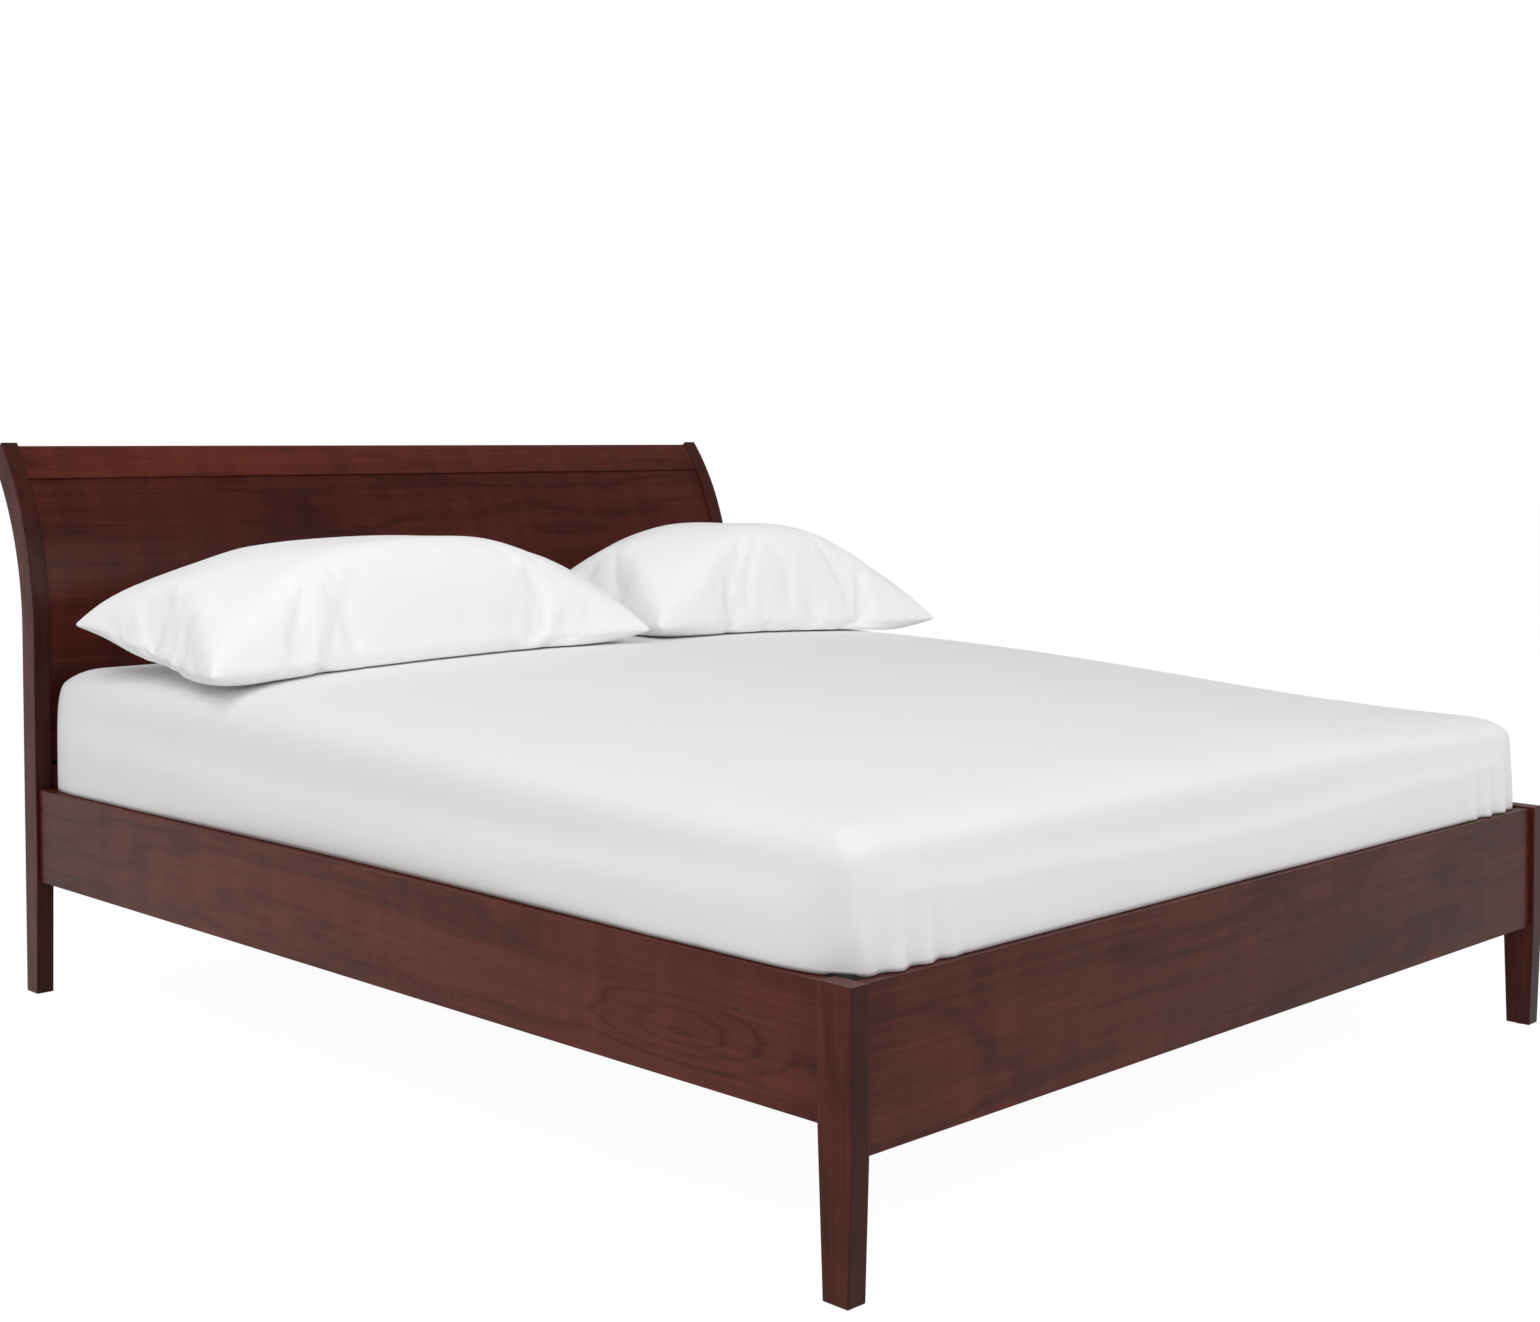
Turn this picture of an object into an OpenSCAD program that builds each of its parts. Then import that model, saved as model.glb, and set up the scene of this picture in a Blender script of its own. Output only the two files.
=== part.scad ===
// Sleigh bed with a low footboard, slatted base, mattress and two pillows.
// Lengths are millimetres. +Z is up, +Y runs to the head end and +X is the right side seen from the foot.
// The origin is under the middle of the bed, at the floor.

/* [Mattress] */
// Width of the mattress
mattress_w = 1600; // [1300:10:1930]
// Length of the mattress
mattress_l = 2000; // [1660:10:2400]
// Height of the mattress side, from the slats to the top seam
mattress_h = 294; // [200:2:360]
// Rise of the crowned top above the top seam
mattress_crown = 28; // [6:1:40]
// Plan radius of the mattress corners
mattress_corner_r = 70; // [30:5:110]
// Gap between the mattress and each side rail
side_gap = 12; // [6:1:30]
// Gap between the mattress and the footboard or headboard
end_gap = 3.5; // [2:0.5:12]
// Gap that keeps a soft piece clear of what it lies on
soft_gap = 0.3; // [0.2:0.1:0.6]

/* [Pillows] */
// Length of the left pillow
pillow_left_l = 905; // [600:5:1090]
// Depth of a pillow, from its foot side to its head side
pillow_d = 500; // [400:10:600]
// Thickness of a plump pillow
pillow_t = 200; // [120:5:250]
// Gap between the two pillows
pillow_between = 14; // [6:1:40]
// Distance from the headboard to the pillows
pillow_back_gap = 115; // [20:5:200]

/* [Rails] */
// Thickness of the side, foot and lower head rails
rail_t = 22; // [18:1:30]
// Height of the rail tops above the floor
rail_top = 370; // [330:2:450]
// Depth of a side rail
side_rail_h = 166; // [150:2:200]
// Depth of the foot rail
foot_rail_h = 200; // [160:2:240]
// How far the side rails lie in from the posts' outer faces
side_inset = 6; // [2:1:10]
// How far the foot rail lies behind the foot posts' front faces
foot_inset = 8; // [2:1:20]
// Height of the slat tops below the rail tops
slat_drop = 107; // [90:1:120]

/* [Foot posts] */
// Width of a foot post across the bed
foot_post_x = 30; // [28:1:44]
// Depth of a foot post along the bed
foot_post_y = 56; // [50:1:80]
// How far the foot posts stand above the rail tops
foot_post_proud = 2.5; // [0:0.5:12]
// Taper of a leg on its front face, below the rail
taper_front = 6.5; // [0:0.5:10]
// Taper of a foot leg on its back face, below the rail
taper_back = 8; // [0:0.5:10]

/* [Headboard] */
// Width of a head post across the bed
head_post_x = 31; // [28:1:44]
// Depth of a head post along the bed
head_post_y = 47; // [40:1:64]
// Height at which the head posts start to curve back
curve_z = 655; // [600:5:780]
// Radius of the curve on the head posts' front faces
curve_r = 526; // [440:2:640]
// Angle through which the head posts curve back
curve_a = 39.8; // [33:0.1:50]
// How far the panel lies behind the posts' front faces
panel_inset = 7; // [4:1:12]
// Thickness of the headboard panel
panel_t = 18; // [15:1:20]
// Depth of the grooves that hold the panel
groove_d = 8; // [5:1:12]
// Play of the panel in its grooves, on each face
groove_play = 0.2; // [0.1:0.1:0.5]
// How far the top rail lies behind the posts' front faces
top_rail_inset = 3; // [1:1:3]
// Thickness of the top rail
top_rail_t = 26; // [26:1:32]
// Width of the top rail, measured round the curve
top_rail_h = 72; // [60:1:110]
// Drop of the top rail below the post ends, measured round the curve
top_rail_drop = 6; // [0:1:15]
// Height of the lower head rail's top edge above the floor
low_head_rail_top = 420; // [400:5:560]

/* [Base] */
// Width of a slat
slat_w = 70; // [50:1:90]
// Thickness of a slat
slat_t = 18; // [14:1:22]
// Gap between a slat's end and the side rail
slat_end_gap = 2; // [1:0.5:5]
// Width of the cleats that carry the slats
cleat_x = 25; // [20:1:34]
// Depth of the cleats
cleat_h = 36; // [24:1:40]
// Width of the centre beam
beam_x = 45; // [38:1:60]
// Depth of the centre beam
beam_h = 40; // [34:1:60]
// Side of a square centre leg
centre_leg_w = 45; // [38:1:60]

/* [Hardware] */
// Radius of the glue dowels
dowel_r = 4; // [3:0.5:5]
// Length of a glue dowel
dowel_l = 30; // [24:1:36]
// Radius of the wood screws
screw_r = 2.2; // [1.8:0.1:2.8]
// Radial play of dowels, studs and screws in their holes
hole_play = 0.1; // [0.05:0.05:0.2]
// Thickness of the steel plates at the bed corners
plate_t = 2.5; // [2:0.5:3]
// Width of the steel plates at the bed corners
plate_x = 16; // [14:1:18]
// Height of the steel plates at the bed corners
plate_h = 120; // [110:2:130]
// Thickness of the beam hangers' steel
hanger_t = 2; // [1.5:0.5:3]
// Radius of the studs that hold the centre legs
stud_r = 4; // [3:0.5:5]
// Radius of the nylon glides under the legs
glide_r = 10; // [8:1:12]
// How far the glides hold the legs off the floor
glide_proud = 1.5; // [1:0.5:3]

/* [Hidden] */

LEFT = -1;
RIGHT = 1;
FOOT = 0;
HEAD = 1;
wood_col = "#5f322d";
dark_wood_col = "#4a2722";
pine_col = "#d8b98a";
steel_col = "#b9bcc0";
nylon_col = "#2c2c2e";
linen_col = "#f2f2f0";

// Plan of the frame, with Y counted from the foot posts' front faces
rail_in_x = mattress_w / 2 + side_gap;
rail_out_x = rail_in_x + rail_t;
bed_half_w = rail_out_x + side_inset;
foot_rail_back = foot_inset + rail_t;
head_front = foot_rail_back + 2 * end_gap + mattress_l;
bed_l = head_front - panel_inset;
rear_reach = max(head_post_y, curve_r - (curve_r - head_post_y) * cos(curve_a));
middle_y = (bed_l + rear_reach) / 2;

// Heights
side_rail_bottom = rail_top - side_rail_h;
foot_rail_bottom = rail_top - foot_rail_h;
slat_top = rail_top - slat_drop;
slat_bottom = slat_top - slat_t;
beam_bottom = slat_bottom - beam_h;
seam_z = slat_top + soft_gap + mattress_h;
mattress_top = seam_z + mattress_crown;
plate_z = rail_top - side_rail_h / 2;

// Angles of the top rail and panel round the curve
top_rail_r = curve_r - top_rail_inset;
panel_r = curve_r - panel_inset;
top_rail_a1 = curve_a - mm_to_deg(top_rail_drop, top_rail_r);
top_rail_a0 = top_rail_a1 - mm_to_deg(top_rail_h, top_rail_r);
panel_a1 = top_rail_a0 + mm_to_deg(groove_d, panel_r);
groove_a1 = panel_a1 + mm_to_deg(groove_play, panel_r);

// Slats, one node each, are spread evenly between the two ends
slat_count = 14;
slat_edge = 45;
slat_first = foot_rail_back + slat_edge + slat_w / 2;
slat_pitch = (head_front - slat_edge - slat_w / 2 - slat_first) / (slat_count - 1);

// Screws, dowels and plates
screw_l = 30;
screw_head_r = 2 * screw_r;
screw_head_h = screw_r + 0.4;
cleat_screw_count = 8;
cleat_screw_l = cleat_x + rail_t / 2;
cleat_end = 30;
dowel_play = 0.5;
slot_x = 4;
slot_h = 24;
hook_x = 3;
hook_rise = 18;
hook_reach = 8;
hook_tooth = 5;
post_screw_z = plate_h / 2 - 8;
rail_screw_z = plate_h / 2 - 19;
glide_sunk = 3;
hanger_l = 36;
hanger_flange = 24;
hanger_play = 0.3;
stud_l = 60;
beam_end_gap = 1;
centre_leg_at = [1 / 3, 2 / 3];

function mm_to_deg(length, radius) = length / radius * 180 / PI;
function slat_y(index) = slat_first + index * slat_pitch;
function leg_y(index) = slat_y(0) + (slat_y(slat_count - 1) - slat_y(0)) * centre_leg_at[index];
function cleat_screw_y(index) = slat_y(0) + slat_pitch / 2
    + index * (slat_count - 2) / (cleat_screw_count - 1) * slat_pitch;

// Moves the frame so that the origin is under its middle
module centred() { translate([0, -middle_y, 0]) children(); }

// A box from one corner to the opposite one
module block(low, high) { translate(low) cube(high - low); }

// A side outline in Y and Z, made solid from x0 to x1
module side_outline(points, x0, x1) {
    translate([x0, 0, 0]) rotate([90, 0, 90]) linear_extrude(x1 - x0) polygon(points);
}

// A band of the headboard's curve between two radii and two angles, from x0 to x1
module curved_band(outer, inner, from, to, x0, x1) {
    translate([x1, bed_l + curve_r, curve_z]) rotate([90, 0, -90]) rotate([0, 0, from])
        rotate_extrude(angle = to - from, $fn = 180)
            translate([inner, 0]) square([outer - inner, x1 - x0]);
}

// A round bar along X
module x_bar(radius, x0, x1) {
    translate([x0, 0, 0]) rotate([0, 90, 0]) cylinder(r = radius, h = x1 - x0, $fn = 32);
}

// A countersunk wood screw with its head at the origin, pointing along -Z
module screw(play = 0, length = screw_l) {
    rotate([180, 0, 0]) cylinder(r = screw_r + play, h = length + play, $fn = 24);
    translate([0, 0, -screw_head_h - play])
        cylinder(r1 = screw_r + play, r2 = screw_head_r + play, h = screw_head_h + play, $fn = 24);
}

// ---- Glides, and the recesses that hold them ----
module glide(radius, top) { cylinder(r = radius, h = top, $fn = 40); }

module glide_recess() {
    translate([0, 0, glide_proud]) glide(glide_r + hole_play, glide_sunk);
}

function foot_glide_y() = (taper_front + foot_post_y - taper_back) / 2;
function head_glide_y() = bed_l + (taper_front + head_post_y) / 2;

module at_post_glides(side, end) {
    foot = [side * (bed_half_w - foot_post_x / 2), foot_glide_y(), 0];
    head = [side * (bed_half_w - head_post_x / 2), head_glide_y(), 0];
    translate(end == FOOT ? foot : head) children();
}

// ---- Bed corner fittings: local +Y points into the rail, -Y into the post ----
module at_corner(side, end) {
    translate([side * (rail_in_x + rail_t / 2), end == FOOT ? foot_post_y : bed_l, plate_z])
        mirror([0, end == FOOT ? 0 : 1, 0]) children();
}

module at_plate_screws(height, into) {
    for (up = [-1, 1]) translate([0, 0, up * height]) rotate([into > 0 ? 90 : -90, 0, 0]) children();
}

module post_plate() {
    difference() {
        block([-plate_x / 2, -plate_t, -plate_h / 2], [plate_x / 2, 0, plate_h / 2]);
        for (up = [-1, 1]) translate([0, 0, up * hook_rise])
            block([-slot_x / 2, -plate_t - 1, -slot_h / 2], [slot_x / 2, 1, slot_h / 2]);
        at_plate_screws(post_screw_z, -1) screw(hole_play);
    }
}

module hook() {
    rest = -slot_h / 2 + soft_gap;
    top = slot_h / 2 - 4;
    side_outline([[0, rest], [0, top], [-hook_reach, top], [-hook_reach, rest - hook_tooth],
        [-plate_t - soft_gap, rest - hook_tooth], [-plate_t - soft_gap, rest]], -hook_x / 2, hook_x / 2);
}

module rail_hook() {
    difference() {
        block([-plate_x / 2, 0, -plate_h / 2], [plate_x / 2, plate_t, plate_h / 2]);
        at_plate_screws(rail_screw_z, 1) screw(hole_play);
    }
    for (up = [-1, 1]) translate([0, 0, up * hook_rise]) hook();
}

module post_plate_recess() {
    block([-plate_x / 2, -plate_t, -plate_h / 2], [plate_x / 2, 1, plate_h / 2]);
    reach = hook_rise + slot_h / 2 + hook_tooth + 2;
    block([-slot_x, -hook_reach - 4, -reach], [slot_x, -plate_t + 1, reach]);
    at_plate_screws(post_screw_z, -1) screw(hole_play);
}

module rail_hook_recess() {
    block([-plate_x / 2, -1, -plate_h / 2], [plate_x / 2, plate_t, plate_h / 2]);
    at_plate_screws(rail_screw_z, 1) screw(hole_play);
}

module plate_node(side, end) { color(steel_col) centred() at_corner(side, end) post_plate(); }

module hook_node(side, end) { color(steel_col) centred() at_corner(side, end) rail_hook(); }

// ---- Dowels between the rails and the posts ----
module dowel_row(radius, length, joint_x, y, heights) {
    for (z = heights) translate([0, y, z]) x_bar(radius, joint_x - length / 2, joint_x + length / 2);
}

foot_dowel_z = [for (k = [1:3]) foot_rail_bottom + k * foot_rail_h / 4];
low_rail_h = low_head_rail_top - side_rail_bottom;
low_dowel_z = [for (k = [1:3]) side_rail_bottom + k * low_rail_h / 4];
top_dowel_a = [for (k = [1:2]) top_rail_a0 + k * (top_rail_a1 - top_rail_a0) / 3];
top_dowel_r = top_rail_r - top_rail_t / 2;

module footboard_joint(radius, length, side) {
    dowel_row(radius, length, side * (bed_half_w - foot_post_x), foot_inset + rail_t / 2, foot_dowel_z);
}

module headboard_joint(radius, length, side) {
    joint_x = side * (bed_half_w - head_post_x);
    dowel_row(radius, length, joint_x, head_front + rail_t / 2, low_dowel_z);
    for (a = top_dowel_a)
        dowel_row(radius, length, joint_x, bed_l + curve_r - top_dowel_r * cos(a),
            [curve_z + top_dowel_r * sin(a)]);
}

// ---- Footboard ----
module foot_post(side) {
    outer = side * bed_half_w;
    inner = side * (bed_half_w - foot_post_x);
    top = rail_top + foot_post_proud;
    color(wood_col) centred() difference() {
        side_outline([[0, foot_rail_bottom], [0, top], [foot_post_y, top], [foot_post_y, side_rail_bottom],
            [foot_post_y - taper_back, glide_proud], [taper_front, glide_proud]],
            min(outer, inner), max(outer, inner));
        footboard_joint(dowel_r + hole_play, dowel_l + dowel_play, side);
        at_corner(side, FOOT) post_plate_recess();
        at_post_glides(side, FOOT) glide_recess();
    }
}

module foot_rail() {
    half = bed_half_w - foot_post_x;
    color(dark_wood_col) centred() difference() {
        block([-half, foot_inset, foot_rail_bottom], [half, foot_rail_back, rail_top]);
        for (side = [LEFT, RIGHT]) footboard_joint(dowel_r + hole_play, dowel_l + dowel_play, side);
        at_hanger(FOOT) hanger_screws_here(hole_play);
    }
}

// ---- Side rails and slat cleats ----
module at_cleat_screws(side) {
    for (k = [0:cleat_screw_count - 1])
        translate([side * (rail_in_x - cleat_x), cleat_screw_y(k), slat_bottom - cleat_h / 2])
            rotate([0, -side * 90, 0]) children();
}

module side_rail(side) {
    color(wood_col) centred() difference() {
        block([min(side * rail_in_x, side * rail_out_x), foot_post_y, side_rail_bottom],
            [max(side * rail_in_x, side * rail_out_x), bed_l, rail_top]);
        for (end = [FOOT, HEAD]) at_corner(side, end) rail_hook_recess();
        at_cleat_screws(side) screw(hole_play, cleat_screw_l);
    }
}

module slat_cleat(side) {
    inner = side * (rail_in_x - cleat_x);
    outer = side * rail_in_x;
    color(pine_col) centred() difference() {
        block([min(inner, outer), foot_rail_back + cleat_end, slat_bottom - cleat_h],
            [max(inner, outer), head_front - cleat_end, slat_bottom]);
        at_cleat_screws(side) screw(hole_play, cleat_screw_l);
        for (k = [0:slat_count - 1]) at_slat_screws(k) screw(hole_play);
    }
}

// ---- Headboard ----
module head_post(side) {
    outer = side * bed_half_w;
    inner = side * (bed_half_w - head_post_x);
    x0 = min(outer, inner);
    x1 = max(outer, inner);
    groove_x = side * (bed_half_w - head_post_x + groove_d + groove_play);
    color(wood_col) centred() difference() {
        union() {
            side_outline([[bed_l, side_rail_bottom], [bed_l, curve_z], [bed_l + head_post_y, curve_z],
                [bed_l + head_post_y, glide_proud], [bed_l + taper_front, glide_proud]], x0, x1);
            curved_band(curve_r, curve_r - head_post_y, 0, curve_a, x0, x1);
        }
        panel_shape(groove_play, min(side * (bed_half_w - head_post_x - 1), groove_x),
            max(side * (bed_half_w - head_post_x - 1), groove_x));
        headboard_joint(dowel_r + hole_play, dowel_l + dowel_play, side);
        at_corner(side, HEAD) post_plate_recess();
        at_post_glides(side, HEAD) glide_recess();
    }
}

module panel_shape(play, x0, x1) {
    block([x0, head_front - play, low_head_rail_top - groove_d], [x1, head_front + panel_t + play, curve_z]);
    curved_band(panel_r + play, panel_r - panel_t - play, 0, panel_a1, x0, x1);
}

module headboard_panel() {
    half = bed_half_w - head_post_x + groove_d;
    color(wood_col) centred() panel_shape(0, -half, half);
}

module headboard_top_rail() {
    half = bed_half_w - head_post_x;
    color(wood_col) centred() difference() {
        curved_band(top_rail_r, top_rail_r - top_rail_t, top_rail_a0, top_rail_a1, -half, half);
        curved_band(panel_r + groove_play, panel_r - panel_t - groove_play, top_rail_a0 - 1, groove_a1,
            -half - 1, half + 1);
        for (side = [LEFT, RIGHT]) headboard_joint(dowel_r + hole_play, dowel_l + dowel_play, side);
    }
}

module headboard_low_rail() {
    half = bed_half_w - head_post_x;
    color(dark_wood_col) centred() difference() {
        block([-half, head_front, side_rail_bottom], [half, head_front + rail_t, low_head_rail_top]);
        block([-half - 1, head_front - 1, low_head_rail_top - groove_d],
            [half + 1, head_front + panel_t + groove_play, low_head_rail_top + 1]);
        for (side = [LEFT, RIGHT]) headboard_joint(dowel_r + hole_play, dowel_l + dowel_play, side);
        at_hanger(HEAD) hanger_screws_here(hole_play);
    }
}

// ---- Slats and centre beam ----
module at_slat_screws(index) {
    for (x = [-1, 0, 1]) translate([x * (rail_in_x - cleat_x / 2), slat_y(index), slat_top]) children();
}

module slat(index) {
    half = rail_in_x - slat_end_gap;
    middle = slat_y(index);
    color(pine_col) centred() difference() {
        block([-half, middle - slat_w / 2, slat_bottom], [half, middle + slat_w / 2, slat_top]);
        at_slat_screws(index) screw(hole_play);
    }
}

module at_centre_legs(index) { translate([0, leg_y(index), 0]) children(); }

module stud_here(play) {
    translate([0, 0, beam_bottom - stud_l / 2 - play])
        cylinder(r = stud_r + play, h = stud_l + 2 * play, $fn = 32);
}

module centre_beam() {
    front = foot_rail_back + hanger_t + beam_end_gap;
    back = head_front - hanger_t - beam_end_gap;
    color(pine_col) centred() difference() {
        block([-beam_x / 2, front, beam_bottom], [beam_x / 2, back, slat_bottom]);
        for (k = [0:slat_count - 1]) at_slat_screws(k) screw(hole_play);
        for (k = [0, 1]) at_centre_legs(k) stud_here(hole_play);
    }
}

module centre_leg(index) {
    color(pine_col) centred() at_centre_legs(index) difference() {
        block([-centre_leg_w / 2, -centre_leg_w / 2, glide_proud],
            [centre_leg_w / 2, centre_leg_w / 2, beam_bottom]);
        stud_here(hole_play);
        glide_recess();
    }
}

// ---- Beam hangers: local +Y points away from the rail ----
hanger_half = beam_x / 2 + hanger_play + hanger_t;
hanger_bottom = beam_bottom - hanger_play - hanger_t;
hanger_top = slat_bottom - 4;

module at_hanger(end) {
    translate([0, end == FOOT ? foot_rail_back : head_front, 0])
        mirror([0, end == FOOT ? 0 : 1, 0]) children();
}

module hanger_screws_here(play) {
    for (side = [LEFT, RIGHT], up = [0.3, 0.7])
        translate([side * (hanger_half + hanger_flange / 2), hanger_t, hanger_screw_z(up)])
            rotate([-90, 0, 0]) screw(play, rail_t / 2);
}

function hanger_screw_z(share) = side_rail_bottom + (hanger_top - side_rail_bottom) * share;

module beam_hanger(end) {
    color(steel_col) centred() at_hanger(end) difference() {
        union() {
            for (side = [LEFT, RIGHT]) {
                outer = side * hanger_half;
                inner = side * (hanger_half - hanger_t);
                flange = side * (hanger_half + hanger_flange);
                block([min(outer, inner), 0, hanger_bottom], [max(outer, inner), hanger_l, hanger_top]);
                block([min(inner, flange), 0, hanger_bottom], [max(inner, flange), hanger_t, hanger_top]);
            }
            block([-hanger_half, 0, hanger_bottom], [hanger_half, hanger_l, hanger_bottom + hanger_t]);
        }
        hanger_screws_here(hole_play);
    }
}

// ---- Fasteners and glides ----
module footboard_dowels() {
    color(pine_col) centred() for (side = [LEFT, RIGHT]) footboard_joint(dowel_r, dowel_l, side);
}

module headboard_dowels() {
    color(pine_col) centred() for (side = [LEFT, RIGHT]) headboard_joint(dowel_r, dowel_l, side);
}

module corner_plate_screws() {
    color(steel_col) centred() for (side = [LEFT, RIGHT], end = [FOOT, HEAD]) at_corner(side, end) {
        at_plate_screws(post_screw_z, -1) screw();
        at_plate_screws(rail_screw_z, 1) screw();
    }
}

module cleat_screws() {
    color(steel_col) centred() for (side = [LEFT, RIGHT]) at_cleat_screws(side) screw(0, cleat_screw_l);
}

module slat_screws() {
    color(steel_col) centred() for (k = [0:slat_count - 1]) at_slat_screws(k) screw();
}

module hanger_screws() {
    color(steel_col) centred() for (end = [FOOT, HEAD]) at_hanger(end) hanger_screws_here(0);
}

module centre_leg_studs() {
    color(steel_col) centred() for (k = [0, 1]) at_centre_legs(k) stud_here(0);
}

module post_glides() {
    color(nylon_col) centred() for (side = [LEFT, RIGHT], end = [FOOT, HEAD])
        at_post_glides(side, end) glide(glide_r, glide_proud + glide_sunk);
}

module centre_leg_glides() {
    color(nylon_col) centred() for (k = [0, 1]) at_centre_legs(k) glide(glide_r, glide_proud + glide_sunk);
}

// ---- Mattress and pillows: plain closed shapes for the soft pieces ----
// A thin slab with round corners
module soft_slab(half_x, half_y, corner, z) {
    translate([0, 0, z]) linear_extrude(1) hull()
        for (x = [-1, 1], y = [-1, 1])
            translate([x * (half_x - corner), y * (half_y - corner)]) circle(r = corner, $fn = 32);
}

crown_inset_x = 150;
crown_inset_y = 130;
mattress_mid_y = foot_rail_back + end_gap + mattress_l / 2;

module mattress() {
    half_x = mattress_w / 2;
    half_y = mattress_l / 2;
    color(linen_col) centred() translate([0, mattress_mid_y, 0]) hull() {
        soft_slab(half_x, half_y, mattress_corner_r, slat_top + soft_gap);
        soft_slab(half_x, half_y, mattress_corner_r, seam_z - 1);
        soft_slab(half_x - crown_inset_x, half_y - crown_inset_y, mattress_corner_r, mattress_top - 1);
    }
}

pillow_edge = mattress_w / 2 + 28;
pillow_left_mid = -pillow_edge + pillow_left_l / 2;
pillow_right_l = 2 * pillow_edge - pillow_left_l - pillow_between;
pillow_right_mid = pillow_edge - pillow_right_l / 2;
pillow_mid_y = head_front - pillow_back_gap - pillow_d / 2;

module pillow(mid_x, length) {
    face_inset_x = 0.16 * length;
    face_inset_y = 0.2 * pillow_d;
    low = mattress_top + soft_gap;
    corner = 40;
    color(linen_col) centred() translate([mid_x, pillow_mid_y, low]) hull() {
        soft_slab(length / 2 - face_inset_x, pillow_d / 2 - face_inset_y, corner, 0);
        soft_slab(length / 2, pillow_d / 2, corner, 0.32 * pillow_t);
        soft_slab(length / 2 - face_inset_x, pillow_d / 2 - face_inset_y, corner, pillow_t - 1);
    }
}

module pillow_left() { pillow(pillow_left_mid, pillow_left_l); }

module pillow_right() { pillow(pillow_right_mid, pillow_right_l); }

foot_post(LEFT);  // foot_post_left
foot_post(RIGHT);  // foot_post_right
foot_rail();
side_rail(LEFT);  // side_rail_left
side_rail(RIGHT);  // side_rail_right
head_post(LEFT);  // head_post_left
head_post(RIGHT);  // head_post_right
headboard_top_rail();
headboard_panel();
headboard_low_rail();
slat_cleat(LEFT);  // slat_cleat_left
slat_cleat(RIGHT);  // slat_cleat_right
slat(0);  // slat_01
slat(1);  // slat_02
slat(2);  // slat_03
slat(3);  // slat_04
slat(4);  // slat_05
slat(5);  // slat_06
slat(6);  // slat_07
slat(7);  // slat_08
slat(8);  // slat_09
slat(9);  // slat_10
slat(10);  // slat_11
slat(11);  // slat_12
slat(12);  // slat_13
slat(13);  // slat_14
centre_beam();
beam_hanger(FOOT);  // beam_hanger_foot
beam_hanger(HEAD);  // beam_hanger_head
centre_leg(0);  // centre_leg_front
centre_leg(1);  // centre_leg_rear
plate_node(LEFT, FOOT);  // post_plate_foot_left
plate_node(RIGHT, FOOT);  // post_plate_foot_right
plate_node(LEFT, HEAD);  // post_plate_head_left
plate_node(RIGHT, HEAD);  // post_plate_head_right
hook_node(LEFT, FOOT);  // rail_hook_foot_left
hook_node(RIGHT, FOOT);  // rail_hook_foot_right
hook_node(LEFT, HEAD);  // rail_hook_head_left
hook_node(RIGHT, HEAD);  // rail_hook_head_right
footboard_dowels();
headboard_dowels();
corner_plate_screws();
cleat_screws();
slat_screws();
hanger_screws();
centre_leg_studs();
post_glides();
centre_leg_glides();
mattress();
pillow_left();
pillow_right();
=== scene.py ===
# %% [markdown]
# # A cherry sleigh bed
# The frame comes first: every measured part of the bed, in metres, with +Z up and +Y from the foot to the head.
# The visible wood, the mattress and the pillows are modelled again here on top of those parts. The slats, the
# fittings and the screws keep their measured shapes and only get a finish.

import math

import bmesh
import bpy
from mathutils import Euler, Matrix, Vector


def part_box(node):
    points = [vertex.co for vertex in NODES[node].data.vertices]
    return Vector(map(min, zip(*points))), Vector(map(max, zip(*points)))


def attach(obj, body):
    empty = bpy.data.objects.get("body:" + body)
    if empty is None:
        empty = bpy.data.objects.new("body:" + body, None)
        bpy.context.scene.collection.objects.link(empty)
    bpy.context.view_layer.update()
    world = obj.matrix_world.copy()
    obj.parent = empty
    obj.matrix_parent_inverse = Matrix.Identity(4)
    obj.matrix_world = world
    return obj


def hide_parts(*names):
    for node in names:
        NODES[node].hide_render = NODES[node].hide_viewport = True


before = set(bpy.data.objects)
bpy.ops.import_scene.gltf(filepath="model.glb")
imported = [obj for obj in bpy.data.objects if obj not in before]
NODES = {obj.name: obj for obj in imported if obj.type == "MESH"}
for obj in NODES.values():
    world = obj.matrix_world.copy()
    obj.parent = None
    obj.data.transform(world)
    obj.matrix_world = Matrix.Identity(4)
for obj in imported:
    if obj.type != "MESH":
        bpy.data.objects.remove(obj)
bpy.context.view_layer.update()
scene = bpy.context.scene
print("nodes in the frame:", len(NODES))

# %% [markdown]
# Colours are written as the hex values that a colour picker shows. Blender's sockets want linear light, so one
# function turns them over. One more small function adds a node, sets it up and links it.


# %% Colour and node helpers
def linear(hex_colour):
    """An sRGB hex colour as linear red, green, blue and an alpha of 1."""
    parts = [int(hex_colour[i : i + 2], 16) / 255 for i in (1, 3, 5)]
    return [c / 12.92 if c <= 0.04045 else ((c + 0.055) / 1.055) ** 2.4 for c in parts] + [1.0]


def add_node(tree, kind, settings=None, **inputs):
    """A node of that kind. Settings are its own properties; inputs go to its sockets, as values or as links."""
    node = tree.nodes.new(kind)
    for name, value in (settings or {}).items():
        setattr(node, name, value)
    for name, value in inputs.items():
        socket = node.inputs[int(name[1:])] if name[1:].isdigit() else node.inputs[name.replace("_", " ")]
        if isinstance(value, bpy.types.NodeSocket):
            tree.links.new(value, socket)
        else:
            socket.default_value = value
    return node


def new_material(name):
    """An empty Principled material: (material, its node tree, its shader node)."""
    material = bpy.data.materials.new(name)
    material.use_nodes = True
    return material, material.node_tree, material.node_tree.nodes["Principled BSDF"]


print("brick red in linear light:", [round(c, 3) for c in linear("#5f322d")])

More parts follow.
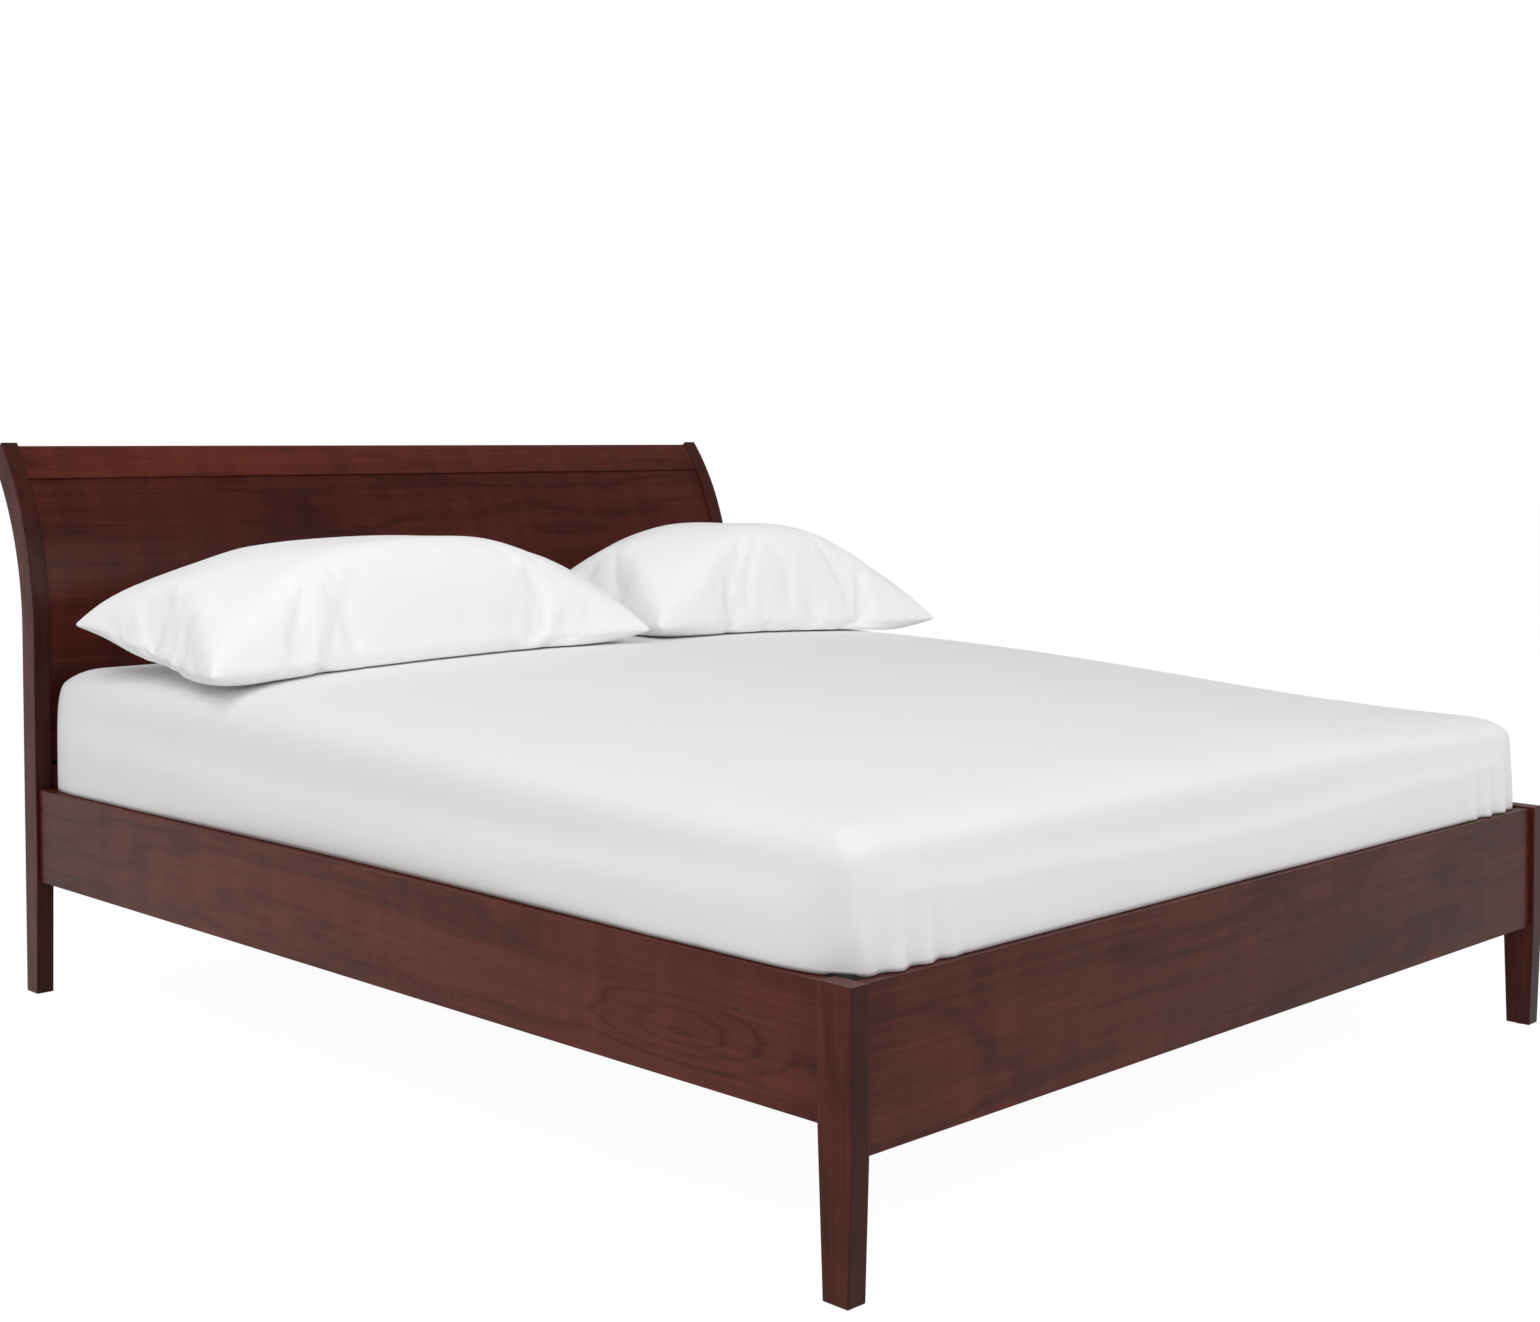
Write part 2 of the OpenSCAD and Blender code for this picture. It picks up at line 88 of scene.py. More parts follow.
# %% [markdown]
# ## Stained cherry
# The frame is black cherry with a deep red-brown stain under a satin lacquer. To the eye that is a dark warm
# board with fine straight fibres, now and then the nested arches where the saw met the growth rings, small dark
# pitch flecks, and a soft broad reflection. The rings are contour lines of a noise that is stretched along the
# grain: the sine of it draws them. Fibres are about 0.7 mm wide on real cherry and are drawn about 3 mm wide,
# because finer ones would not show from across a room.

# %% Stained cherry material
ALONG = {"X": (0, 0, 0), "Y": (0, 0, -math.pi / 2), "Z": (0, math.pi / 2, 0)}


def stained_cherry(name, grain, offset, colours, arch=None, painted_shade_along_y=0.0):
    """Lacquered cherry with its grain along one axis. offset slides the board through the log, so no two match.
    arch is (the middle, the half sizes) in metres, grain first, of the spot where the rings close into arches.
    The last argument paints shade: it darkens the faces that look along Y, which take less light than the faces
    towards the key lamp on the left."""
    material, tree, shader = new_material(name)
    place = add_node(tree, "ShaderNodeTexCoord").outputs["Object"]
    board = add_node(tree, "ShaderNodeMapping", Vector=place, Rotation=ALONG[grain], Location=offset).outputs[0]

    def streaks(along, across, detail, rough, seed=0.0):
        """Noise with its own scale along and across the grain, in cycles a metre."""
        stretched = add_node(
            tree, "ShaderNodeMapping", Vector=board, Scale=(along, across, across), Location=(seed, 0, 0)
        ).outputs[0]
        return add_node(
            tree, "ShaderNodeTexNoise", Vector=stretched, Scale=1.0, Detail=detail, Roughness=rough
        ).outputs[0]

    def maths(operation, a, b=0.0, c=0.0, clamp=False):
        return add_node(tree, "ShaderNodeMath", {"operation": operation, "use_clamp": clamp}, _0=a, _1=b, _2=c).outputs[0]

    rings = maths("MULTIPLY", streaks(1.1, 7.5, 4.0, 0.5), 34.0)
    if arch:
        local = add_node(
            tree,
            "ShaderNodeMapping",
            {"vector_type": "TEXTURE"},
            Vector=add_node(tree, "ShaderNodeMapping", Vector=place, Rotation=ALONG[grain]).outputs[0],
            Location=arch[0],
            Scale=arch[1],
        ).outputs[0]
        ball = add_node(tree, "ShaderNodeTexGradient", {"gradient_type": "SPHERICAL"}, Vector=local).outputs[1]
        rings = maths("ADD", rings, maths("MULTIPLY", ball, 20.0))
    line = maths("POWER", maths("MULTIPLY_ADD", maths("SINE", rings), 0.5, 0.5), 5.0)
    fibres = streaks(5.0, 330.0, 3.0, 0.6, 3.0)
    tone = streaks(0.7, 3.2, 2.0, 0.5, 7.0)
    mottle = streaks(26.0, 4.0, 1.0, 0.5, 11.0)
    threads = streaks(1.5, 85.0, 3.0, 0.6, 5.0)
    mix = maths("MULTIPLY", tone, 0.60)
    for part, weight in ((line, -0.15), (fibres, 0.40), (threads, 0.30), (mottle, 0.26)):
        mix = maths("ADD", mix, maths("MULTIPLY", part, weight))
    mix = maths("SUBTRACT", mix, 0.26)
    ramp = add_node(tree, "ShaderNodeValToRGB", Fac=mix)
    ramp.color_ramp.elements[0].position, ramp.color_ramp.elements[1].position = 0.28, 0.72
    ramp.color_ramp.elements[0].color, ramp.color_ramp.elements[1].color = linear(colours[0]), linear(colours[2])
    ramp.color_ramp.elements.new(0.5).color = linear(colours[1])
    # Pitch flecks: short dark dashes, only where a second noise lets them through.
    dashes = maths("MULTIPLY", maths("SUBTRACT", streaks(55.0, 260.0, 1.0, 0.5, 17.0), 0.64), 12.0, clamp=True)
    patch = maths("MULTIPLY", maths("SUBTRACT", streaks(1.6, 7.0, 1.0, 0.5, 23.0), 0.5), 6.0, clamp=True)
    flecks = maths("MULTIPLY", maths("MULTIPLY", dashes, patch), 0.55)
    colour = add_node(
        tree, "ShaderNodeMix", {"data_type": "RGBA"}, _0=flecks, _6=ramp.outputs[0], _7=linear("#2a100e")
    ).outputs[2]
    # Painted shade: the faces that look along Y are mixed towards a near-black brown.
    if painted_shade_along_y:
        facing = add_node(tree, "ShaderNodeTexCoord").outputs["Normal"]
        along_y = maths("ABSOLUTE", add_node(tree, "ShaderNodeSeparateXYZ", Vector=facing).outputs[1])
        colour = add_node(
            tree,
            "ShaderNodeMix",
            {"data_type": "RGBA"},
            _0=maths("MULTIPLY", along_y, painted_shade_along_y),
            _6=colour,
            _7=linear("#1c0c0c"),
        ).outputs[2]
    tree.links.new(colour, shader.inputs["Base Color"])
    rough = maths("MULTIPLY_ADD", fibres, 0.12, 0.27)
    tree.links.new(rough, shader.inputs["Roughness"])
    shader.inputs["IOR"].default_value = 1.5
    shader.inputs["Specular IOR Level"].default_value = 0.11
    shader.inputs["Coat Weight"].default_value = 0.03
    shader.inputs["Coat Roughness"].default_value = 0.16
    bump = add_node(tree, "ShaderNodeBump", Strength=0.25, Distance=0.00025, Height=fibres)
    tree.links.new(bump.outputs[0], shader.inputs["Normal"])
    return material


print("cherry grain can run along", ", ".join(ALONG))

# %% [markdown]
# ## Bare pine, zinc-plated steel, black nylon
# The slats, cleats and middle beam are unfinished pine: pale yellow, with darker late wood in long streaks.
# The fittings are stamped steel with bright zinc, a slightly patchy grey. The glides are moulded nylon, matte.


# %% Hidden materials
def bare_pine(name, grain):
    """Unfinished pine with its grain along one axis; the rings are about 4 mm apart."""
    material, tree, shader = new_material(name)
    place = add_node(tree, "ShaderNodeTexCoord").outputs["Object"]
    board = add_node(tree, "ShaderNodeMapping", Vector=place, Rotation=ALONG[grain]).outputs[0]
    board = add_node(tree, "ShaderNodeMapping", Vector=board, Scale=(1.2, 22, 22)).outputs[0]
    figure = add_node(tree, "ShaderNodeTexNoise", Vector=board, Scale=1.0, Detail=3.0, Distortion=0.6).outputs[0]
    wave = add_node(tree, "ShaderNodeMath", {"operation": "MULTIPLY"}, _0=figure, _1=60.0).outputs[0]
    wave = add_node(tree, "ShaderNodeMath", {"operation": "SINE"}, _0=wave).outputs[0]
    ramp = add_node(tree, "ShaderNodeValToRGB", Fac=wave)
    ramp.color_ramp.elements[0].color, ramp.color_ramp.elements[1].color = linear("#d9b98a"), linear("#c79c63")
    tree.links.new(ramp.outputs[0], shader.inputs["Base Color"])
    shader.inputs["Roughness"].default_value = 0.62
    bump = add_node(tree, "ShaderNodeBump", Strength=0.3, Distance=0.0003, Height=figure)
    tree.links.new(bump.outputs[0], shader.inputs["Normal"])
    return material


def plain_finish(name, dark, light, roughness, metallic, cell):
    """A metal or a moulded plastic: two close colours in cloudy patches of that size in metres."""
    material, tree, shader = new_material(name)
    place = add_node(tree, "ShaderNodeTexCoord").outputs["Object"]
    cloud = add_node(tree, "ShaderNodeTexNoise", Vector=place, Scale=1.0 / cell, Detail=3.0).outputs[0]
    ramp = add_node(tree, "ShaderNodeValToRGB", Fac=cloud)
    ramp.color_ramp.elements[0].color, ramp.color_ramp.elements[1].color = linear(dark), linear(light)
    tree.links.new(ramp.outputs[0], shader.inputs["Base Color"])
    bump = add_node(tree, "ShaderNodeBump", Strength=0.15, Distance=0.0002, Height=cloud)
    tree.links.new(bump.outputs[0], shader.inputs["Normal"])
    shader.inputs["Roughness"].default_value = roughness
    shader.inputs["Metallic"].default_value = metallic
    return material


zinc = plain_finish("zinc_plated_steel", "#9a9ea1", "#c3c6c8", 0.34, 1.0, 0.004)
nylon = plain_finish("moulded_black_nylon", "#1a1a1b", "#262627", 0.55, 0.0, 0.002)
pine = {axis: bare_pine(f"bare_pine_along_{axis.lower()}", axis) for axis in ALONG}
print("made", zinc.name, nylon.name, *[m.name for m in pine.values()])

# %% [markdown]
# ## White percale
# The fitted sheet and the pillowcases are white cotton percale, a plain one-over-one weave of threads about
# 0.25 mm apart. Across a room it reads as a matte white with a soft edge glow, broken by small creases. The
# threads are drawn 2 mm apart, so that a close look still finds them; a noise adds the creases and another varies
# the white a little.


# %% Percale material
def percale(name, colour, shade, crease_size, crease_depth):
    """White plain-weave cotton. The creases are crease_size metres across and crease_depth metres deep."""
    material, tree, shader = new_material(name)
    place = add_node(tree, "ShaderNodeTexCoord").outputs["Object"]

    def maths(operation, a, b=0.0):
        return add_node(tree, "ShaderNodeMath", {"operation": operation}, _0=a, _1=b).outputs[0]

    axes = add_node(tree, "ShaderNodeSeparateXYZ", Vector=place).outputs
    warp, weft = (maths("SINE", maths("MULTIPLY", axis, 2 * math.pi / 0.002)) for axis in axes[:2])
    weave = maths("MULTIPLY", warp, weft)
    crease = add_node(
        tree, "ShaderNodeTexNoise", Vector=place, Scale=1.0 / crease_size, Detail=2.0, Roughness=0.45, Distortion=0.8
    ).outputs[0]
    cloud = add_node(tree, "ShaderNodeTexNoise", Vector=place, Scale=5.0, Detail=2.0).outputs[0]
    tint = add_node(
        tree, "ShaderNodeMix", {"data_type": "RGBA"}, _0=cloud, _6=linear(shade), _7=linear(colour)
    ).outputs[2]
    tree.links.new(tint, shader.inputs["Base Color"])
    folds = add_node(tree, "ShaderNodeBump", Strength=0.6, Distance=crease_depth, Height=crease)
    threads = add_node(tree, "ShaderNodeBump", Strength=0.12, Distance=0.0002, Height=weave, Normal=folds.outputs[0])
    tree.links.new(threads.outputs[0], shader.inputs["Normal"])
    shader.inputs["Roughness"].default_value = 0.85
    shader.inputs["Sheen Weight"].default_value = 0.12
    shader.inputs["Sheen Roughness"].default_value = 0.5
    return material


sheet_cotton = percale("white_percale_sheet", "#efefef", "#ebebeb", 0.11, 0.003)
case_cotton = percale("white_percale_pillowcase", "#fafafa", "#f6f6f6", 0.045, 0.003)
print("made", sheet_cotton.name, case_cotton.name)

# %% [markdown]
# ## Finishing a piece
# Every new piece ends the same way: its normals face outwards, its mesh stays in the bed's own place, it rides
# on a body of the frame and it stands for the plain part under it. Wooden edges are never dead sharp: a maker
# eases them with sandpaper, so each board gets a bevel of a little over a millimetre. Weighted normals keep
# the broad faces flat beside that bevel.


# %% Finish and bevel helpers
def finish_piece(bm, name, material, body, replaced, weighted=True):
    """Turns a bmesh into a shown piece and gives it its finish, its body and the parts it stands for."""
    bmesh.ops.recalc_face_normals(bm, faces=bm.faces)
    open_edges = sum(len(e.link_faces) != 2 for e in bm.edges)
    mesh = bpy.data.meshes.new(name)
    bm.to_mesh(mesh)
    bm.free()
    mesh.materials.append(material)
    mesh.shade_smooth()
    piece = bpy.data.objects.new(name, mesh)
    scene.collection.objects.link(piece)
    if weighted:
        piece.modifiers.new("flat faces", "WEIGHTED_NORMAL").keep_sharp = True
    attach(piece, body)
    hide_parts(*replaced)
    print(name, "faces", len(mesh.polygons), "open edges", open_edges)
    return piece


def ease_edges(bm, radius):
    """Rounds every edge that is sharper than about 30 degrees."""
    sharp = [e for e in bm.edges if len(e.link_faces) == 2 and e.calc_face_angle() > 0.5]
    bmesh.ops.bevel(
        bm, geom=sharp, offset=radius, segments=3, profile=0.5, affect="EDGES", material=-1, clamp_overlap=True
    )


def unit_section(bm, x0, x1, y0, y1, z):
    """A level loop of four edges with those limits."""
    made = bmesh.ops.create_grid(bm, x_segments=1, y_segments=1, size=0.5)
    bmesh.ops.scale(bm, vec=(x1 - x0, y1 - y0, 1), verts=made["verts"])
    bmesh.ops.translate(bm, vec=((x0 + x1) / 2, (y0 + y1) / 2, z), verts=made["verts"])
    bmesh.ops.delete(bm, geom=bm.faces[:], context="FACES_ONLY")
    return bm.edges[:]


def extrude_to(bm, edges, z, y_front, y_back):
    """Carries a loop of edges down or up to z, with its front and back moved to those places."""
    made = bmesh.ops.extrude_edge_only(bm, edges=edges)["geom"]
    verts = [v for v in made if isinstance(v, bmesh.types.BMVert)]
    middle = sum(v.co.y for v in verts) / len(verts)
    for v in verts:
        v.co.y = y_front if v.co.y < middle else y_back
        v.co.z = z
    return [e for e in made if isinstance(e, bmesh.types.BMEdge)]


# %% [markdown]
# ## Rails
# Each rail is one straight board, planed on four sides. A cube is stretched to the board's own box and its
# edges are eased. The grain runs the length of the board.

# %% Board maker and the straight rails
EASE = 0.0014


def board(name, node, material):
    """One straight board with eased edges, in the place of a node of the frame."""
    low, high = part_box(node)
    bm = bmesh.new()
    bmesh.ops.create_cube(bm, size=1.0)
    bmesh.ops.scale(bm, vec=high - low, verts=bm.verts)
    bmesh.ops.translate(bm, vec=(low + high) / 2, verts=bm.verts)
    ease_edges(bm, EASE)
    return finish_piece(bm, name, material, "frame", [node])


RAIL = ("#3f1612", "#56241d", "#683026")
# The foot rail's colours are a darker copy of the side rails': painted shade for its front, which turns away from
# the key lamp; the headboard's low rail shares it.
FOOT_PAINTED_SHADE = ("#34140f", "#471d18", "#5a2a22")
POST = ("#42190f", "#55231c", "#662f26")
# The headboard panel's colours are darker again: painted shade for how the light falls on its leaning face.
PANEL_PAINTED_SHADE = ("#35110d", "#481b16", "#5a261e")
TOP = ("#3b150f", "#4e1f17", "#60291f")
left_rail = stained_cherry(
    "stained_cherry_side_rail_left", "Y", (0.0, 0.0, 0.0), RAIL, arch=((-0.79, 0.834, 0.265), (0.21, 0.05, 0.05))
)
right_rail = stained_cherry("stained_cherry_side_rail_right", "Y", (2.3, 0.4, 0.2), RAIL)
foot_wood = stained_cherry("stained_cherry_foot_rail", "X", (4.1, 0.7, 0.1), FOOT_PAINTED_SHADE)
board("side_rail_left_board", "side_rail_left", left_rail)
board("side_rail_right_board", "side_rail_right", right_rail)
board("foot_rail_board", "foot_rail", foot_wood)
board("headboard_low_rail_board", "headboard_low_rail", foot_wood)

# %% [markdown]
# ## Foot posts
# A foot post is a square-edged post of 30 by 56 mm whose front and back taper towards the floor below the
# rails. A level loop of four edges is carried down from the top through each height where the outline turns.

# %% Foot posts
# The posts get painted shade on the faces that look along Y.
post_left = stained_cherry("stained_cherry_posts_left", "Z", (0.6, 0.2, 0.9), POST, painted_shade_along_y=0.6)
post_right = stained_cherry("stained_cherry_posts_right", "Z", (1.9, 0.8, 0.3), POST, painted_shade_along_y=0.6)
FLOOR_GAP = 0.0015
TAPER_FRONT, TAPER_BACK = 0.0065, 0.008
FOOT_RAIL_BOTTOM, SIDE_RAIL_BOTTOM = 0.170, 0.204

for side, wood in (("left", post_left), ("right", post_right)):
    low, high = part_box(f"foot_post_{side}")
    bm = bmesh.new()
    loop = unit_section(bm, low.x, high.x, low.y, high.y, high.z)
    loop = extrude_to(bm, loop, SIDE_RAIL_BOTTOM, low.y, high.y)
    drop = (SIDE_RAIL_BOTTOM - FOOT_RAIL_BOTTOM) / (SIDE_RAIL_BOTTOM - FLOOR_GAP)
    loop = extrude_to(bm, loop, FOOT_RAIL_BOTTOM, low.y, high.y - drop * TAPER_BACK)
    extrude_to(bm, loop, FLOOR_GAP, low.y + TAPER_FRONT, high.y - TAPER_BACK)
    bmesh.ops.holes_fill(bm, edges=bm.edges, sides=4)
    ease_edges(bm, 0.0018)
    finish_piece(bm, f"foot_post_{side}_turned", wood, "frame", [f"foot_post_{side}"])

# %% [markdown]
# ## Headboard
# The head posts rise straight and then lean back along an arc. The panel and its top rail follow the same arc,
# a few millimetres further in. Each one is a four-edge section that is spun about the arc's centre line; the
# posts and the panel are then carried straight down from where the arc begins.

# %% Headboard posts, panel and top rail
post_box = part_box("head_post_left")
HEAD_FRONT = post_box[0].y
CURVE_Z, CURVE_R = 0.655, 0.526
CENTRE = Vector((0, HEAD_FRONT + CURVE_R, CURVE_Z))
POST_DEPTH = 0.047


def spun_section(bm, x0, x1, radius, depth, start, end, steps):
    """A section whose front face is at that radius, spun upwards between two angles in degrees."""
    front = CENTRE.y - radius
    loop = unit_section(bm, x0, x1, front, front + depth, CURVE_Z)
    turn = Matrix.Rotation(-math.radians(start), 3, "X")
    bmesh.ops.rotate(bm, cent=CENTRE, matrix=turn, verts=bm.verts)
    bmesh.ops.spin(
        bm, geom=bm.verts[:] + loop, cent=CENTRE, axis=(1, 0, 0), angle=-math.radians(end - start), steps=steps
    )
    return loop


for side, wood in (("left", post_left), ("right", post_right)):
    low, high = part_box(f"head_post_{side}")
    bm = bmesh.new()
    loop = spun_section(bm, low.x, high.x, CURVE_R, POST_DEPTH, 0, 39.8, 40)
    loop = extrude_to(bm, loop, SIDE_RAIL_BOTTOM, HEAD_FRONT, HEAD_FRONT + POST_DEPTH)
    extrude_to(bm, loop, FLOOR_GAP, HEAD_FRONT + TAPER_FRONT, HEAD_FRONT + POST_DEPTH)
    bmesh.ops.holes_fill(bm, edges=bm.edges, sides=4)
    ease_edges(bm, 0.0022)
    finish_piece(bm, f"head_post_{side}_curved", wood, "frame", [f"head_post_{side}"])

panel_wood = stained_cherry("stained_cherry_headboard_panel", "X", (7.7, 0.3, 0.5), PANEL_PAINTED_SHADE)
top_wood = stained_cherry("stained_cherry_top_rail", "X", (9.2, 0.9, 0.8), TOP)
low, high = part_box("headboard_panel")
bm = bmesh.new()
loop = spun_section(bm, low.x, high.x, 0.519, 0.018, 0, 32.14, 36)
extrude_to(bm, loop, low.z, CENTRE.y - 0.519, CENTRE.y - 0.501)
bmesh.ops.holes_fill(bm, edges=bm.edges, sides=4)
finish_piece(bm, "headboard_panel_bent", panel_wood, "frame", ["headboard_panel"])

low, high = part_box("headboard_top_rail")
bm = bmesh.new()
spun_section(bm, low.x, high.x, 0.523, 0.026, 31.25, 39.14, 10)
bmesh.ops.holes_fill(bm, edges=bm.edges, sides=4)
ease_edges(bm, EASE)
finish_piece(bm, "headboard_top_rail_bent", top_wood, "frame", ["headboard_top_rail"])

# %% [markdown]
# ## Parts that keep their measured shape
# The slats and the hidden structure are seen only from below or from behind, and their exact shapes are
# already right. They only need the right finish.

# %% Finishes for the kept parts
FINISHES = {
    "slat_cleat": (pine["Y"], "bare_pine"),
    "slat_screws": (zinc, "zinc_steel"),
    "slat_": (pine["X"], "bare_pine"),
    "centre_beam": (pine["Y"], "bare_pine"),
    "centre_leg_studs": (zinc, "zinc_steel"),
    "centre_leg_glides": (nylon, "nylon"),
    "centre_leg": (pine["Z"], "bare_pine"),
    "footboard_dowels": (pine["X"], "bare_pine"),
    "headboard_dowels": (pine["X"], "bare_pine"),
    "post_glides": (nylon, "nylon"),
}
for node_name, node in NODES.items():
    if node.hide_render or node_name in ("mattress", "pillow_left", "pillow_right"):
        continue
    found = next((v for k, v in FINISHES.items() if node_name.startswith(k)), (zinc, "zinc_steel"))
    node.data.materials.clear()
    node.data.materials.append(found[0])
print("kept parts:", sum(not n.hide_render for n in NODES.values()) - 3)

# %% [markdown]
# ## Inflating cloth
# Padded things get their shape from what is inside pushing the cloth out. A cloth simulation with pressure and
# no gravity does that in a few frames. The result is taken as a plain mesh, with a limit on how far any point
# may travel, so the piece stays where it belongs.


# %% Cloth helper
def inflate(mesh, pressure, frames, limit, bending=0.5, shrink=0.0):
    """The mesh after a cloth simulation under pressure, with each point moved by no more than limit metres."""
    body = bpy.data.objects.new("inflating", mesh)
    scene.collection.objects.link(body)
    cloth = body.modifiers.new("cloth", "CLOTH")
    settings = cloth.settings
    settings.quality = 5
    settings.mass = 0.3
    settings.tension_stiffness = settings.compression_stiffness = 15
    settings.shear_stiffness = 5
    settings.bending_stiffness = bending
    settings.shrink_min = shrink
    settings.use_pressure = True
    settings.uniform_pressure_force = pressure
    settings.effector_weights.gravity = 0
    cloth.collision_settings.use_collision = False
    cloth.point_cache.frame_start, cloth.point_cache.frame_end = 1, frames
    for number in range(1, frames + 1):
        scene.frame_set(number)
    moved = body.evaluated_get(bpy.context.evaluated_depsgraph_get()).to_mesh()
    for v, w in zip(mesh.vertices, moved.vertices):
        step = w.co - v.co
        v.co += step * min(1.0, limit / max(step.length, 1e-9))
    bpy.data.objects.remove(body)
    scene.frame_set(1)
    return mesh


def subdivided(mesh, levels=1):
    """The mesh after that many levels of subdivision surface."""
    body = bpy.data.objects.new("subdividing", mesh)
    scene.collection.objects.link(body)
    modifier = body.modifiers.new("smooth", "SUBSURF")
    modifier.levels = modifier.render_levels = levels
    made = bpy.data.meshes.new_from_object(body.evaluated_get(bpy.context.evaluated_depsgraph_get()))
    bpy.data.objects.remove(body)
    return made


def remeshed(bm, voxel):
    """The bmesh as a mesh of even square faces of that size."""
    mesh = bpy.data.meshes.new("even")
    bm.to_mesh(mesh)
    bm.free()
    body = bpy.data.objects.new("remeshing", mesh)
    scene.collection.objects.link(body)
    modifier = body.modifiers.new("even", "REMESH")
    modifier.mode, modifier.voxel_size = "VOXEL", voxel
    made = bpy.data.meshes.new_from_object(body.evaluated_get(bpy.context.evaluated_depsgraph_get()))
    bpy.data.objects.remove(body)
    return made


def smooth_step(a, b, x):
    """0 below a, 1 above b, and a soft rise between them."""
    t = min(1.0, max(0.0, (x - a) / (b - a)))
    return t * t * (3 - 2 * t)


# %% [markdown]
# ## Mattress
# The mattress is a block of foam and springs, 1600 by 2000 mm, in a tight fitted sheet. It sits on the slats
# between the rails, stands a hand's width above them and swells a little over their top edges. It is a box
# with well-rounded corners; pressure gives the faces their fullness, and then the part between the rails is
# drawn in to the width of the frame. Near the foot corners the sheet is gathered by its elastic into a few
# short vertical tucks.

# %% Mattress
RAIL_TOP = 0.370
low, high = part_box("mattress")
MID_Y = (low.y + high.y) / 2
HALF_X, HALF_Y = high.x, (high.y - low.y) / 2
SWELL_X, SWELL_FOOT = 0.026, 0.013
FOOT_Y = low.y
MATTRESS_TOP = high.z


def mattress_crown(x, y):
    """Height of the mattress top above the floor at a place: highest in the middle and towards the head."""
    across = 1 - (abs(x) / (HALF_X + SWELL_X)) ** 2.4
    along = 1 - (abs(y - MID_Y) / (HALF_Y + SWELL_FOOT)) ** 4
    rise = smooth_step(-1.1, 0.5, y)
    sag = 0.018 * smooth_step(0.2, 0.8, x) * (1 - smooth_step(-1.0, 0.0, y))
    return 0.540 + 0.045 * rise - sag + 0.026 * max(across, 0) * max(along, 0)


bm = bmesh.new()
bmesh.ops.create_cube(bm, size=1.0)
bmesh.ops.scale(bm, vec=(2 * HALF_X + 0.03, 2 * HALF_Y, high.z - low.z - 0.02), verts=bm.verts)
bmesh.ops.translate(bm, vec=(0, MID_Y, (low.z + high.z) / 2 - 0.01), verts=bm.verts)
upright = [e for e in bm.edges if abs(e.verts[0].co.z - e.verts[1].co.z) > 0.1]
for corners, radius in (
    ([e for e in upright if e.verts[0].co.y < 0], 0.05),
    ([e for e in upright if e.verts[0].co.y > 0], 0.03),
):
    bmesh.ops.bevel(bm, geom=corners, offset=radius, segments=6, profile=0.5, affect="EDGES", material=-1)
rim = [e for e in bm.edges if len(e.link_faces) == 2 and e.calc_face_angle() > 1.0]
bmesh.ops.bevel(bm, geom=rim, offset=0.034, segments=5, profile=0.5, affect="EDGES", material=-1)
mattress_mesh = subdivided(inflate(remeshed(bm, 0.021), 2.5, 10, 0.007, bending=4.0))

LIP = 0.0065
full_x = max(v.co.x for v in mattress_mesh.vertices)
full_z = max(v.co.z for v in mattress_mesh.vertices)
print("mattress inflated to half width", round(full_x, 4))
for v in mattress_mesh.vertices:
    x, y, z = v.co
    if z > RAIL_TOP:
        z = RAIL_TOP + (z - RAIL_TOP) * (mattress_crown(x, y) - RAIL_TOP) / (full_z - RAIL_TOP)
    z = max(z, low.z + 0.0004)
    # Between the rails the block is only as wide as the frame lets it be.
    # The row of points just under the rails' top comes up level with it, and the next row lies out on the rail.
    over = 0.0 if z < RAIL_TOP - LIP else 1.0
    if abs(z - RAIL_TOP + LIP) < 0.0108:
        z = RAIL_TOP + 0.0006 + 0.0008 * over
        if abs(x) > 0.79 and y < -1.02:
            z += 0.0022
    top_pull = 1 - 0.25 * smooth_step(RAIL_TOP + 0.12, 0.60, z)
    x *= (HALF_X + SWELL_X * over * top_pull) / full_x
    foot = smooth_step(-0.8, -1.0, y)
    y -= SWELL_FOOT * over * top_pull * foot
    x = max(-HALF_X - SWELL_X * over, min(HALF_X + SWELL_X * over, x))
    head_end = high.y - 0.0065 * smooth_step(0.77, 0.80, abs(x))
    y = max(FOOT_Y - SWELL_FOOT * over, min(head_end, y))
    # Tucks by the foot corners, where the elastic gathers the sheet.
    for sign in (-1, 1):
        corner = sign * x - (HALF_X - 0.10)
        if corner > -0.10 and y < FOOT_Y + 0.12:
            fade = (1 - smooth_step(RAIL_TOP + 0.01, RAIL_TOP + 0.12, z)) * smooth_step(-0.10, -0.02, corner)
            y += 0.005 * fade * math.sin(corner * 2 * math.pi / 0.048)
    v.co = (x, y, z)

bm = bmesh.new()
bm.from_mesh(mattress_mesh)
mattress = finish_piece(bm, "mattress_in_sheet", sheet_cotton, "mattress", ["mattress"], False)
